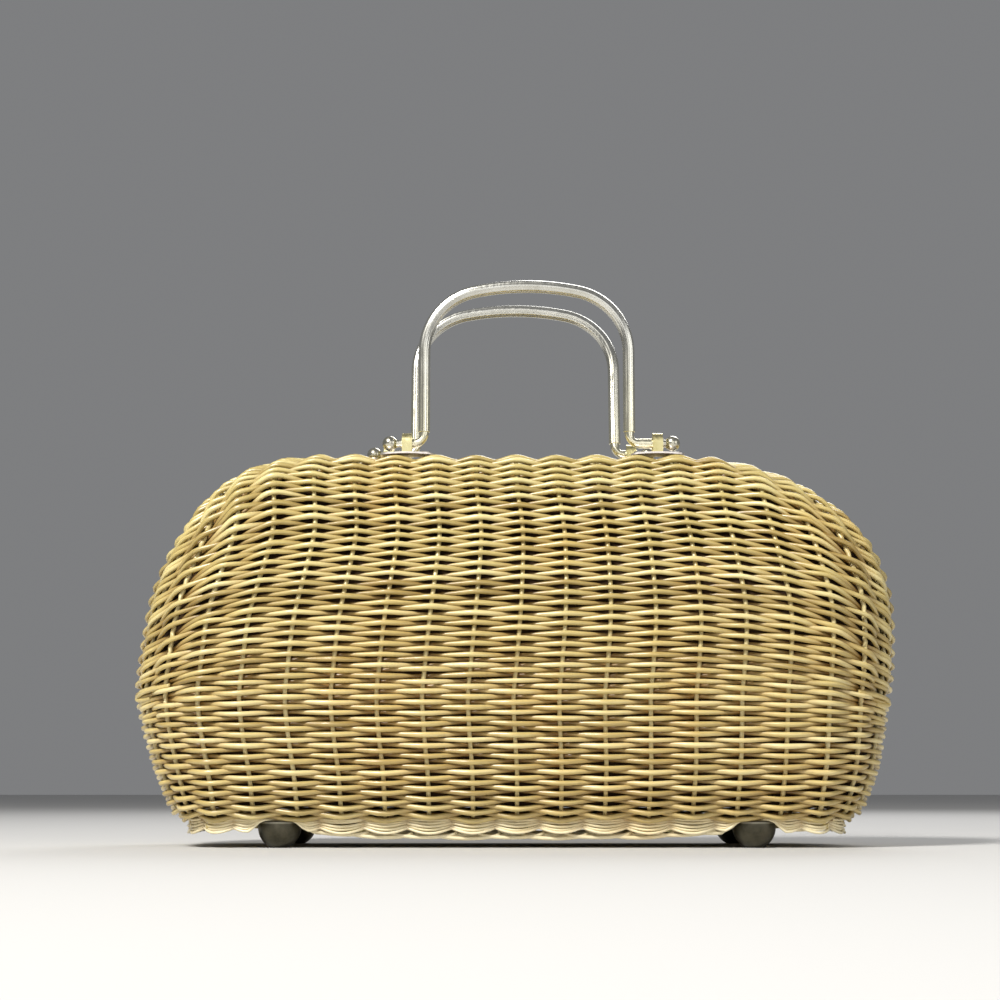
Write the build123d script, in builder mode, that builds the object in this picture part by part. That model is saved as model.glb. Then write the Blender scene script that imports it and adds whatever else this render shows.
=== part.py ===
"""Wicker box handbag: two woven half shells hinged under the bottom seam, with a tube handle on each half.

Millimetres. X runs along the length, the front half faces -Y, +Z is up. The origin is at floor level
under the middle of the bag, where the four feet stand.
"""
from math import asin, cos, degrees, radians, sin, sqrt
import os

from build123d import *

# Driving dimensions: the woven body
LENGTH = 351.5            # over both ends at the belly
DEPTH = 132.0             # over both halves at the belly
BODY_HEIGHT = 173.5       # woven underside to woven top
GROUND_CLEARANCE = 8.0    # floor to woven underside
WALL = 6.5                # thickness of the weave
RIM_DEPTH = 4.0           # width of the bound rim, seen from the top
LEAST_CORNER_SHARE = 0.3  # of the outer corner radius, left on the inner corner
SEAM_GAP = 0.3            # between the two rims when the bag is shut
LINING_THICKNESS = 1.2
LINING_GAP = 0.35         # lining to side wall
LINING_LIFT = 2.8         # lining to the floor and roof, over the fastener heads

# Driving dimensions: the feet
FOOT_DIAMETER = 19.3
FOOT_HEIGHT = 11.5
FOOT_FLAT_DIAMETER = 8.0
FOOT_RIM_HEIGHT = 1.0     # straight band at the top of the dome
FOOT_DOME_OUT = 0.86      # a point on the dome, as a share of its radius
FOOT_DOME_UP = 0.38       # and of its height
FOOT_X = 106.7
FOOT_Y = 40.0
FOOT_POCKET_GAP = 0.15
FOOT_SCREW_DIAMETER = 3.0
FOOT_SCREW_HEAD_DIAMETER = 5.6
FOOT_SCREW_HEAD_HEIGHT = 1.5
FOOT_WASHER_DIAMETER = 9.0
FOOT_WASHER_THICKNESS = 0.8
FOOT_SOCKET_FLOOR = 4.0   # bottom of the threaded socket above the floor
FOOT_SCREW_END_GAP = 0.3  # screw tip to the bottom of its socket

# Driving dimensions: the handles
HANDLE_LEG_SPACING = 97.0
HANDLE_SPRING_HEIGHT = 44.0   # pivot to the start of the shoulder bend
HANDLE_SHOULDER_RADIUS = 30.0
HANDLE_CROWN_RADIUS = 120.0
HANDLE_DIAMETER = 5.6
HANDLE_NARROW_DIAMETER = 4.7  # of the bent ends that turn in the brackets
HANDLE_BORE = 3.4
HANDLE_NOTCH_HEIGHT = 5.4     # where the full tube begins above the pivot
ELBOW_RADIUS = 4.5
SHORT_STUB = 7.9              # leg centre to bracket centre
LONG_STUB = 13.2
SHORT_NECK = 2.2              # bracket face to ball
LONG_NECK = 1.2
TUBE_PAST_BRACKET = 0.5
BALL_DIAMETER = 7.2
BALL_NECK_DIAMETER = 3.6
BALL_SHANK_LENGTH = 4.0
BALL_SHANK_GAP = 0.02         # radial, in the tube's bore
HANDLE_Y = 17.0               # pivot lines in front of and behind the seam
FRONT_HANDLE_X = 5.0          # middle of the front handle
REAR_HANDLE_X = 0.0
REAR_HANDLE_LEAN = 10.0       # degrees, away from the seam

# Driving dimensions: plates and brackets on the top
PLATE_LENGTH = 25.0
PLATE_WIDTH = 12.0
PLATE_THICKNESS = 0.8
PLATE_ARCH = 0.8              # rise of the plate's middle over its ends
PLATE_SEAT_GAP = 0.05
PLATE_HEAD_GAP = 0.02
PLATE_RIVET_SPACING = 18.0
BRACKET_WIDTH = 4.7
BRACKET_RADIUS = 4.9
PIVOT_ABOVE_PLATE = 4.6
RIVET_DIAMETER = 2.2
RIVET_HEAD_DIAMETER = 4.0
RIVET_HEAD_HEIGHT = 0.9
RIVET_HOLE_GAP = 0.1
BACKING_WIDTH = 6.0
BACKING_THICKNESS = 0.8

# Driving dimensions: bottom hinges and catch
HINGE_X = 72.0
HINGE_LENGTH = 30.0
HINGE_LEAF_WIDTH = 10.0
HINGE_LEAF_THICKNESS = 0.8
KNUCKLE_DIAMETER = 3.2
KNUCKLE_MIDDLE = 12.0         # length of the front leaf's knuckle
KNUCKLE_END_GAP = 0.2
KNUCKLE_ROOT = 0.4            # of the leaf, up inside the knuckle
HINGE_PIN_DIAMETER = 1.8
HINGE_RIVET_SPACING = 20.0
HINGE_DROP = 0.1              # knuckle to woven underside
CATCH_LENGTH = 16.0
CATCH_HEIGHT = 6.0
CATCH_STUD_DIAMETER = 4.0
CATCH_STUD_REACH = 2.4        # past the seam
CATCH_CLEARANCE = 0.15

# Running clearance, radial, of everything that turns
RUNNING_CLEARANCE = 0.06

# Worked out from the driving dimensions
BASE_Z = GROUND_CLEARANCE
TOP_Z = BASE_Z + BODY_HEIGHT
FLOOR_Z = BASE_Z + WALL
ROOF_Z = TOP_Z - WALL
PLATE_CREST_Z = TOP_Z + PLATE_SEAT_GAP + PLATE_ARCH + PLATE_THICKNESS
PIVOT_Z = PLATE_CREST_Z + PIVOT_ABOVE_PLATE
HINGE_AXIS_Z = BASE_Z - HINGE_DROP - KNUCKLE_DIAMETER / 2
BIG = 2 * LENGTH

# Outer shape as level sections: height, length and depth as shares of the body's own, and the
# corner radius as a share of the section's half depth.
OUTLINE = [
    (0.0, 0.838, 0.712, 0.50),
    (0.035, 0.894, 0.803, 0.56),
    (0.09, 0.927, 0.871, 0.62),
    (0.20, 0.966, 0.939, 0.68),
    (0.41, 1.0, 1.0, 0.73),
    (0.58, 0.992, 0.936, 0.74),
    (0.72, 0.955, 0.818, 0.77),
    (0.83, 0.888, 0.682, 0.79),
    (0.92, 0.782, 0.553, 0.79),
    (0.975, 0.654, 0.432, 0.77),
    (1.0, 0.547, 0.364, 0.75),
]

# The hollow: height as a share of its own, and the inset as a multiple of the wall, which grows
# where the wall leans.
HOLLOW = [(0.0, 1.15), (0.06, 1.1), (0.2, 1.03), (0.41, 1.0), (0.58, 1.03), (0.72, 1.1), (0.83, 1.22),
          (0.92, 1.35), (1.0, 1.4)]

FRONT, REAR = -1, 1
NAMES = {FRONT: "front", REAR: "rear"}
LEFT, RIGHT = -1, 1
SIDES = {LEFT: "left", RIGHT: "right"}


def keep(part, name):
    """Labels a finished piece and writes it."""
    part.label = name
    export_step(part, f"parts/{name}.step")


def outline_at(z):
    """Half length, half depth and corner radius of the woven body at a height."""
    share = (z - BASE_Z) / BODY_HEIGHT
    for lower, upper in zip(OUTLINE, OUTLINE[1:]):
        if share <= upper[0]:
            break
    t = (share - lower[0]) / (upper[0] - lower[0])
    long, deep, corner = (a + (b - a) * t for a, b in zip(lower[1:], upper[1:]))
    half_depth = DEPTH / 2 * deep
    return LENGTH / 2 * long, half_depth, half_depth * corner


def section(z, inset):
    """One level section of the body, moved in by an inset."""
    half_length, half_depth, corner = outline_at(z)
    with BuildSketch(Plane.XY.offset(z)) as level:
        width = 2 * (half_length - inset)
        depth = 2 * (half_depth - inset)
        RectangleRounded(width, depth, max(corner - inset, LEAST_CORNER_SHARE * corner))
    return level.sketch.face()


def hollow_sections(side_gap, level_gap):
    """The sections of the hollow, smaller by the two gaps."""
    low = FLOOR_Z + level_gap
    high = ROOF_Z - level_gap
    return [section(low + share * (high - low), WALL * wall_share + side_gap) for share, wall_share in HOLLOW]


def slab(side, near, far):
    """Keeps what lies between two distances from the seam, on one side of it."""
    with Locations((0, side * (near + far) / 2, 0)):
        Box(BIG, far - near, 2 * BIG, mode=Mode.INTERSECT)


def along_x(centre, radius, length, mode=Mode.ADD):
    """A round bar along X."""
    with Locations(centre):
        Cylinder(radius, length, rotation=(0, 90, 0), mode=mode)


def upright(places, radius, low, high, mode=Mode.ADD):
    """Round bars along Z at several places, between two heights."""
    with Locations(*[(x, y, (low + high) / 2) for x, y in places]):
        Cylinder(radius, high - low, mode=mode)


# Where things sit
BRACKET_X = {
    (FRONT, LEFT): FRONT_HANDLE_X - HANDLE_LEG_SPACING / 2 - SHORT_STUB,
    (FRONT, RIGHT): FRONT_HANDLE_X + HANDLE_LEG_SPACING / 2 + LONG_STUB,
    (REAR, LEFT): REAR_HANDLE_X - HANDLE_LEG_SPACING / 2 - LONG_STUB,
    (REAR, RIGHT): REAR_HANDLE_X + HANDLE_LEG_SPACING / 2 + SHORT_STUB,
}
STUB = {(FRONT, LEFT): SHORT_STUB, (FRONT, RIGHT): LONG_STUB, (REAR, LEFT): LONG_STUB, (REAR, RIGHT): SHORT_STUB}
NECK = {(FRONT, LEFT): SHORT_NECK, (FRONT, RIGHT): LONG_NECK, (REAR, LEFT): LONG_NECK, (REAR, RIGHT): SHORT_NECK}


def foot_places(half):
    return [(side * FOOT_X, half * FOOT_Y) for side in SIDES]


def plate_rivet_places(half):
    middles = [BRACKET_X[half, side] for side in SIDES]
    return [(x + s * PLATE_RIVET_SPACING / 2, half * HANDLE_Y) for x in middles for s in (-1, 1)]


def hinge_rivet_places(half):
    y = half * (KNUCKLE_DIAMETER / 2 + HINGE_LEAF_WIDTH / 2)
    return [(side * HINGE_X + s * HINGE_RIVET_SPACING / 2, y) for side in SIDES for s in (-1, 1)]


os.makedirs("parts", exist_ok=True)

# The closed woven body, from which both halves and both rims are taken
with BuildPart() as woven_body:
    loft([section(BASE_Z + share * BODY_HEIGHT, 0.0) for share, *_ in OUTLINE])
    loft(hollow_sections(0.0, 0.0), mode=Mode.SUBTRACT)

with BuildPart() as full_lining:
    loft(hollow_sections(LINING_GAP, LINING_LIFT))
    inner = hollow_sections(LINING_GAP + LINING_THICKNESS, LINING_LIFT + LINING_THICKNESS)
    loft(inner, mode=Mode.SUBTRACT)

rivet_hole = RIVET_DIAMETER / 2 + RIVET_HOLE_GAP
screw_hole = FOOT_SCREW_DIAMETER / 2 + RIVET_HOLE_GAP
for half, name in NAMES.items():
    # Woven half shell: pockets for the feet, holes for screws and rivets
    with BuildPart() as basket:
        add(woven_body.part)
        slab(half, SEAM_GAP / 2 + RIM_DEPTH, DEPTH)
        pocket = FOOT_DIAMETER / 2 + FOOT_POCKET_GAP
        upright(foot_places(half), pocket, 0, FOOT_HEIGHT, Mode.SUBTRACT)
        upright(foot_places(half), screw_hole, 0, FLOOR_Z + WALL, Mode.SUBTRACT)
        upright(plate_rivet_places(half), rivet_hole, ROOF_Z - WALL, TOP_Z + WALL, Mode.SUBTRACT)
        upright(hinge_rivet_places(half), rivet_hole, 0, FLOOR_Z + WALL, Mode.SUBTRACT)
    keep(basket.part, f"{name}_basket")

    with BuildPart() as rim:
        add(woven_body.part)
        slab(half, SEAM_GAP / 2, SEAM_GAP / 2 + RIM_DEPTH)
    keep(rim.part, f"{name}_rim")

    with BuildPart() as lining:
        add(full_lining.part)
        slab(half, SEAM_GAP / 2 + RIM_DEPTH + LINING_GAP, DEPTH)
    keep(lining.part, f"{name}_lining")

    # Domed feet, each with a flat to stand on and a threaded socket for its screw
    for side, side_name in SIDES.items():
        with BuildPart() as foot:
            with BuildSketch(Plane.XZ.offset(-half * FOOT_Y)):
                with BuildLine():
                    rim_x = FOOT_DIAMETER / 2
                    flat_x = FOOT_FLAT_DIAMETER / 2
                    left = side * FOOT_X
                    rim_low = FOOT_HEIGHT - FOOT_RIM_HEIGHT
                    middle = (left + rim_x * FOOT_DOME_OUT, rim_low * FOOT_DOME_UP)
                    Line((left, 0), (left + flat_x, 0))
                    ThreePointArc((left + flat_x, 0), middle, (left + rim_x, rim_low))
                    Line((left + rim_x, rim_low), (left + rim_x, FOOT_HEIGHT))
                    Line((left + rim_x, FOOT_HEIGHT), (left, FOOT_HEIGHT))
                    Line((left, FOOT_HEIGHT), (left, 0))
                make_face()
            revolve(axis=Axis((side * FOOT_X, half * FOOT_Y, 0), (0, 0, 1)))
            place = [(side * FOOT_X, half * FOOT_Y)]
            upright(place, FOOT_SCREW_DIAMETER / 2 + RUNNING_CLEARANCE, FOOT_SOCKET_FLOOR, BIG, Mode.SUBTRACT)
        keep(foot.part, f"{name}_foot_{side_name}")

    washer_top = FLOOR_Z + FOOT_WASHER_THICKNESS
    with BuildPart() as foot_washers:
        upright(foot_places(half), FOOT_WASHER_DIAMETER / 2, FLOOR_Z, washer_top)
        upright(foot_places(half), screw_hole, 0, BIG, Mode.SUBTRACT)
    keep(foot_washers.part, f"{name}_foot_washers")

    with BuildPart() as foot_screws:
        upright(foot_places(half), FOOT_SCREW_DIAMETER / 2, FOOT_SOCKET_FLOOR + FOOT_SCREW_END_GAP, washer_top)
        head_top = washer_top + FOOT_SCREW_HEAD_HEIGHT
        upright(foot_places(half), FOOT_SCREW_HEAD_DIAMETER / 2, washer_top, head_top)
    keep(foot_screws.part, f"{name}_foot_screws")

    # Arched plates on the top, the brackets that stand on them and the strips inside the roof
    arch_radius = (PLATE_LENGTH**2 / 4 + PLATE_ARCH**2) / (2 * PLATE_ARCH)
    for side, side_name in SIDES.items():
        middle = BRACKET_X[half, side]
        low = TOP_Z + PLATE_SEAT_GAP
        ends = PLATE_LENGTH / 2
        with BuildPart() as plate:
            with BuildSketch(Plane.XZ.offset(-half * HANDLE_Y)):
                with BuildLine():
                    top = low + PLATE_THICKNESS
                    ThreePointArc((middle - ends, low), (middle, low + PLATE_ARCH), (middle + ends, low))
                    Line((middle + ends, low), (middle + ends, top))
                    ThreePointArc((middle + ends, top), (middle, top + PLATE_ARCH), (middle - ends, top))
                    Line((middle - ends, top), (middle - ends, low))
                make_face()
            extrude(amount=PLATE_WIDTH / 2, both=True)
            fillet(plate.edges().filter_by(Axis.Z), PLATE_WIDTH / 4)
            upright(plate_rivet_places(half), rivet_hole, TOP_Z - WALL, BIG, Mode.SUBTRACT)
        keep(plate.part, f"{name}_plate_{side_name}")

        with BuildPart() as bracket:
            with BuildSketch(Plane.YZ.offset(middle)):
                with Locations((half * HANDLE_Y, PIVOT_Z)):
                    Circle(BRACKET_RADIUS)
                with Locations((half * HANDLE_Y, PIVOT_Z - PIVOT_ABOVE_PLATE / 2)):
                    Rectangle(2 * BRACKET_RADIUS, PIVOT_ABOVE_PLATE)
                with Locations((half * HANDLE_Y, PIVOT_Z - PIVOT_ABOVE_PLATE - BRACKET_RADIUS)):
                    Rectangle(4 * BRACKET_RADIUS, 2 * BRACKET_RADIUS, mode=Mode.SUBTRACT)
                with Locations((half * HANDLE_Y, PIVOT_Z)):
                    Circle(HANDLE_NARROW_DIAMETER / 2 + RUNNING_CLEARANCE, mode=Mode.SUBTRACT)
            extrude(amount=BRACKET_WIDTH / 2, both=True)
        keep(bracket.part, f"{name}_bracket_{side_name}")

        with BuildPart() as backing:
            with Locations((middle, half * HANDLE_Y, ROOF_Z - BACKING_THICKNESS / 2)):
                Box(PLATE_LENGTH, BACKING_WIDTH, BACKING_THICKNESS)
            upright(plate_rivet_places(half), rivet_hole, ROOF_Z - WALL, TOP_Z, Mode.SUBTRACT)
        keep(backing.part, f"{name}_backing_{side_name}")

    reach = PLATE_RIVET_SPACING / 2 - RIVET_HEAD_DIAMETER / 2
    drop = arch_radius - sqrt(arch_radius**2 - reach**2)
    plate_head_z = PLATE_CREST_Z - drop + PLATE_HEAD_GAP
    with BuildPart() as plate_rivets:
        places = plate_rivet_places(half)
        tail_z = ROOF_Z - BACKING_THICKNESS
        upright(places, RIVET_DIAMETER / 2, tail_z, plate_head_z)
        upright(places, RIVET_HEAD_DIAMETER / 2, plate_head_z, plate_head_z + RIVET_HEAD_HEIGHT)
        upright(places, RIVET_HEAD_DIAMETER / 2, tail_z - RIVET_HEAD_HEIGHT, tail_z)
    keep(plate_rivets.part, f"{name}_plate_rivets")

    # Hinge leaves under the base: two end knuckles on the rear leaf, the middle one on the front leaf
    for side, side_name in SIDES.items():
        middle = side * HINGE_X
        leaf_y = KNUCKLE_DIAMETER / 2 + HINGE_LEAF_WIDTH / 2
        leaf_z = BASE_Z - HINGE_LEAF_THICKNESS / 2
        end_length = (HINGE_LENGTH - KNUCKLE_MIDDLE) / 2 - KNUCKLE_END_GAP
        end_x = HINGE_LENGTH / 2 - end_length / 2
        spans = [(middle, KNUCKLE_MIDDLE)]
        if half == REAR:
            spans = [(middle - end_x, end_length), (middle + end_x, end_length)]
        pin_hole = HINGE_PIN_DIAMETER / 2 + RUNNING_CLEARANCE
        with BuildPart() as leaf:
            with Locations((middle, half * leaf_y, leaf_z)):
                Box(HINGE_LENGTH, HINGE_LEAF_WIDTH, HINGE_LEAF_THICKNESS)
            for x, length in spans:
                along_x((x, 0, HINGE_AXIS_Z), KNUCKLE_DIAMETER / 2, length)
                with Locations((x, half * KNUCKLE_DIAMETER / 4, HINGE_AXIS_Z + KNUCKLE_DIAMETER / 4)):
                    Box(length, KNUCKLE_DIAMETER / 2 + KNUCKLE_ROOT, KNUCKLE_DIAMETER / 2)
            along_x((middle, 0, HINGE_AXIS_Z), pin_hole, 2 * HINGE_LENGTH, Mode.SUBTRACT)
            upright(hinge_rivet_places(half), rivet_hole, 0, FLOOR_Z, Mode.SUBTRACT)
        keep(leaf.part, f"{side_name}_hinge_{name}_leaf")

    head_z = BASE_Z - HINGE_LEAF_THICKNESS
    with BuildPart() as hinge_rivets:
        places = hinge_rivet_places(half)
        upright(places, RIVET_DIAMETER / 2, head_z, FLOOR_Z)
        upright(places, RIVET_HEAD_DIAMETER / 2, head_z - RIVET_HEAD_HEIGHT, head_z)
        upright(places, RIVET_HEAD_DIAMETER / 2, FLOOR_Z, FLOOR_Z + RIVET_HEAD_HEIGHT)
    keep(hinge_rivets.part, f"{name}_hinge_rivets")

for side, side_name in SIDES.items():
    with BuildPart() as hinge_pin:
        along_x((side * HINGE_X, 0, HINGE_AXIS_Z), HINGE_PIN_DIAMETER / 2, HINGE_LENGTH)
    keep(hinge_pin.part, f"{side_name}_hinge_pin")

# Press-stud catch under the top of the rims
catch_z = ROOF_Z - CATCH_HEIGHT / 2
catch_depth = RIM_DEPTH
with BuildPart() as catch_stud:
    with Locations((0, FRONT * (SEAM_GAP / 2 + catch_depth / 2), catch_z)):
        Box(CATCH_LENGTH, catch_depth, CATCH_HEIGHT)
    with BuildSketch(Plane.XZ.offset(SEAM_GAP / 2 + catch_depth / 2)):
        with Locations((0, catch_z)):
            Circle(CATCH_STUD_DIAMETER / 2)
    extrude(amount=-(CATCH_STUD_REACH + SEAM_GAP / 2 + catch_depth / 2))
    fillet(catch_stud.edges().group_by(Axis.Y)[-1], CATCH_STUD_DIAMETER / 6)
keep(catch_stud.part, "catch_stud")

with BuildPart() as catch_socket:
    with Locations((0, REAR * (SEAM_GAP / 2 + catch_depth / 2), catch_z)):
        Box(CATCH_LENGTH, catch_depth, CATCH_HEIGHT)
    with BuildSketch(Plane.XZ.offset(-SEAM_GAP / 2)):
        with Locations((0, catch_z)):
            Circle(CATCH_STUD_DIAMETER / 2 + CATCH_CLEARANCE)
    extrude(amount=-(CATCH_STUD_REACH + CATCH_CLEARANCE), mode=Mode.SUBTRACT)
keep(catch_socket.part, "catch_socket")

# Tube handles: a crowned arch, straight legs, and narrow ends bent outwards through the brackets
half_spacing = HANDLE_LEG_SPACING / 2
crown_angle = degrees(asin((half_spacing - HANDLE_SHOULDER_RADIUS) / (HANDLE_CROWN_RADIUS - HANDLE_SHOULDER_RADIUS)))
for half, name in NAMES.items():
    lean = REAR_HANDLE_LEAN if half == REAR else 0.0
    handle_x = REAR_HANDLE_X if half == REAR else FRONT_HANDLE_X
    tilt = radians(lean)
    plane = Plane(
        origin=(handle_x, half * HANDLE_Y, PIVOT_Z),
        x_dir=(1, 0, 0),
        z_dir=(0, -cos(tilt), half * sin(tilt)),
    )
    tube_reach = {s: half_spacing + STUB[half, s] + BRACKET_WIDTH / 2 + TUBE_PAST_BRACKET for s in SIDES}

    with BuildPart() as handle:
        with BuildLine(plane) as arch:
            start = Line((-half_spacing, HANDLE_NOTCH_HEIGHT), (-half_spacing, HANDLE_SPRING_HEIGHT))
            shoulder = JernArc(start @ 1, (0, 1), HANDLE_SHOULDER_RADIUS, -(90 - crown_angle))
            crown = JernArc(shoulder @ 1, shoulder % 1, HANDLE_CROWN_RADIUS, -2 * crown_angle)
            last = JernArc(crown @ 1, crown % 1, HANDLE_SHOULDER_RADIUS, -(90 - crown_angle))
            Line(last @ 1, (half_spacing, HANDLE_NOTCH_HEIGHT))
        with BuildSketch(Plane(origin=arch.wire() @ 0, z_dir=arch.wire() % 0)):
            Circle(HANDLE_DIAMETER / 2)
            Circle(HANDLE_BORE / 2, mode=Mode.SUBTRACT)
        sweep(path=arch.wire())
        for side in SIDES:
            with BuildLine(plane) as end:
                leg = side * half_spacing
                stub = Line((side * tube_reach[side], 0), (leg + side * ELBOW_RADIUS, 0))
                elbow = JernArc(stub @ 1, stub % 1, ELBOW_RADIUS, side * -90)
                Line(elbow @ 1, (leg, HANDLE_NOTCH_HEIGHT))
            with BuildSketch(Plane(origin=end.wire() @ 0, z_dir=end.wire() % 0)):
                Circle(HANDLE_NARROW_DIAMETER / 2)
                Circle(HANDLE_BORE / 2, mode=Mode.SUBTRACT)
            sweep(path=end.wire())
    keep(handle.part, f"{name}_handle")

    # Ball ends: a ball, its neck, and a shank that goes up the bore of the tube
    for side, side_name in SIDES.items():
        tube_end = handle_x + side * tube_reach[side]
        ball_edge = BRACKET_X[half, side] + side * (BRACKET_WIDTH / 2 + NECK[half, side])
        ball_radius = BALL_DIAMETER / 2
        neck_radius = BALL_NECK_DIAMETER / 2
        shank_radius = HANDLE_BORE / 2 - BALL_SHANK_GAP
        ball_x = ball_edge + side * ball_radius
        neck_x = ball_x - side * sqrt(ball_radius**2 - neck_radius**2)
        shank_x = tube_end - side * BALL_SHANK_LENGTH
        with BuildPart() as ball:
            with BuildSketch(Plane.XZ.offset(-half * HANDLE_Y)):
                with BuildLine():
                    tip = (ball_x + side * ball_radius, PIVOT_Z)
                    crest = (ball_x, PIVOT_Z + ball_radius)
                    ThreePointArc(tip, crest, (neck_x, PIVOT_Z + neck_radius))
                    Polyline(
                        (neck_x, PIVOT_Z + neck_radius),
                        (tube_end, PIVOT_Z + neck_radius),
                        (tube_end, PIVOT_Z + shank_radius),
                        (shank_x, PIVOT_Z + shank_radius),
                        (shank_x, PIVOT_Z),
                        tip,
                    )
                make_face()
            revolve(axis=Axis((0, half * HANDLE_Y, PIVOT_Z), (1, 0, 0)))
        keep(ball.part, f"{name}_ball_{side_name}")

print("pivot height", round(PIVOT_Z, 3), "hinge axis", HINGE_AXIS_Z, "crown angle", round(crown_angle, 2))
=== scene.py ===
"""Looks of a wicker box handbag: woven cane halves, bound rims, a lining painted near-black for the shade
inside, and fluted tube handles.
"""
import math

import bpy
import numpy as np
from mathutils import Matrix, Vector


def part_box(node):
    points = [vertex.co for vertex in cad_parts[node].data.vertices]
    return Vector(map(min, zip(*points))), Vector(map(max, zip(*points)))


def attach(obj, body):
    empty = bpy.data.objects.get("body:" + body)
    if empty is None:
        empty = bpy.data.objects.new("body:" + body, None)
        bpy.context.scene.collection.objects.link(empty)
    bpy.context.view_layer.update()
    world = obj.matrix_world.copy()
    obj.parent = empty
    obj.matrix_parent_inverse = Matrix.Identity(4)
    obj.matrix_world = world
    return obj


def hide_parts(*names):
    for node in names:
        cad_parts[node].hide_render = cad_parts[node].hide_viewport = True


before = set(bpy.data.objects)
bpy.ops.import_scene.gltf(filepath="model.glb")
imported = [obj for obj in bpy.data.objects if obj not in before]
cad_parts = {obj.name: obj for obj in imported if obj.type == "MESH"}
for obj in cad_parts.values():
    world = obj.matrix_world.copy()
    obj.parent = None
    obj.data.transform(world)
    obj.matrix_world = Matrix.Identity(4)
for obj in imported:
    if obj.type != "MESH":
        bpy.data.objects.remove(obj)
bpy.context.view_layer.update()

bpy.ops.object.select_all(action="DESELECT")
random_source = np.random.default_rng(7)
MM = 0.001

# ---------------------------------------------------------------- sizes, in metres, from the frame
basket_low, basket_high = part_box("front_basket")
HALF_LENGTH = (basket_high.x - basket_low.x) / 2
HALF_DEPTH = -basket_low.y
BASE_Z = basket_low.z
BODY_HEIGHT = basket_high.z - basket_low.z
RIM_EDGE = -basket_high.y              # where the bound rim ends and the open weave starts
WEFT_RADIUS = 1.2 * MM
STAKE_RADIUS = 1.1 * MM
WALL_MIDDLE = 2 * WEFT_RADIUS + STAKE_RADIUS
TURN_Z = 52 * MM                       # level rows below, arched rows above
GAP_Z = 69 * MM                        # a gap in the weave at both ends
CORNER_Z = 155 * MM                    # the last row reaches the end of the rim here
ROW_PITCH = 2.42 * MM
INTERVALS = 22                         # spaces between stakes, rim to rim, in one half
MIDDLE = INTERVALS / 2
STEPS = 8                              # samples in each space
BELLY_PITCH = 20.3 * MM                # between stakes at the widest
EVEN_SPACES = 6                        # from the middle, before the spaces start to narrow
GAP_FROM_END = 2.3                     # spaces from the rim to the middle of the gap
ROOM_OVER_FOOT = 1.3 * MM              # from a foot's top to the middle of a strand over it
BORDER_ROOM = 1.0 * MM
BORDER_STRANDS = 5                     # in each bundle of the twined border
HALVES = {"front": -1, "rear": 1}
LEFT, RIGHT = -1, 1

# Outer shape as level sections: height, length, depth as shares of the body's own, and the corner
# radius as a share of the section's half depth. The last two rows crown the top.
OUTLINE = np.array([
    (0.0, 0.838, 0.712, 0.50),
    (0.035, 0.894, 0.803, 0.56),
    (0.09, 0.927, 0.871, 0.62),
    (0.20, 0.966, 0.939, 0.68),
    (0.41, 1.0, 1.0, 0.73),
    (0.58, 0.992, 0.936, 0.74),
    (0.72, 0.955, 0.818, 0.77),
    (0.83, 0.888, 0.682, 0.79),
    (0.92, 0.782, 0.553, 0.79),
    (0.975, 0.654, 0.432, 0.77),
    (1.0, 0.547, 0.364, 0.75),
    (1.005, 0.50, 0.20, 0.70),
    (1.007, 0.47, 0.064, 0.60),
])
TOP_Z = BASE_Z + BODY_HEIGHT * OUTLINE[-1, 0]


def smooth(x, low, high):
    """0 below low, 1 above high, with soft ends."""
    t = np.clip((x - low) / (high - low), 0, 1)
    return t * t * (3 - 2 * t)


def curve_through(xs, ys, x):
    """A cubic through the points that keeps between them."""
    slope = np.diff(ys) / np.diff(xs)
    tangent = np.zeros_like(ys)
    inside = slope[:-1] * slope[1:] > 0
    tangent[1:-1][inside] = 2 * slope[:-1][inside] * slope[1:][inside] / (slope[:-1] + slope[1:])[inside]
    tangent[0], tangent[-1] = slope[0], slope[-1]
    i = np.clip(np.searchsorted(xs, x) - 1, 0, len(xs) - 2)
    h = xs[i + 1] - xs[i]
    t = np.clip((x - xs[i]) / h, 0, 1)
    a = (2 * t**3 - 3 * t**2 + 1) * ys[i] + (t**3 - 2 * t**2 + t) * h * tangent[i]
    return a + (-2 * t**3 + 3 * t**2) * ys[i + 1] + (t**3 - t**2) * h * tangent[i + 1]


def outline(z):
    """Half length, half depth and corner radius of the body at a height."""
    share = (np.asarray(z, float) - BASE_Z) / BODY_HEIGHT
    long, deep, corner = (curve_through(OUTLINE[:, 0], OUTLINE[:, k], share) for k in (1, 2, 3))
    half_depth = HALF_DEPTH * deep
    return HALF_LENGTH * long, half_depth, half_depth * corner


def half_way(z):
    """Distance along a section from the middle of the front to the rim."""
    a, b, r = outline(z)
    return (a - r) + r * math.pi / 2 + (b - r)


def place(s, z):
    """The point of the outer surface at a distance s from the middle, at height z, front half."""
    a, b, r = outline(z)
    sign, far = np.sign(s), np.abs(s)
    straight = a - r
    turn = np.clip((far - straight) / np.maximum(r, 1e-6), 0, math.pi / 2)
    past = np.maximum(far - straight - r * math.pi / 2, 0)
    x = np.minimum(far, straight) + r * np.sin(turn)
    y = -(b - r) - r * np.cos(turn) + past
    return np.stack([sign * x, y, np.broadcast_to(z, x.shape)], -1)


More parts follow.
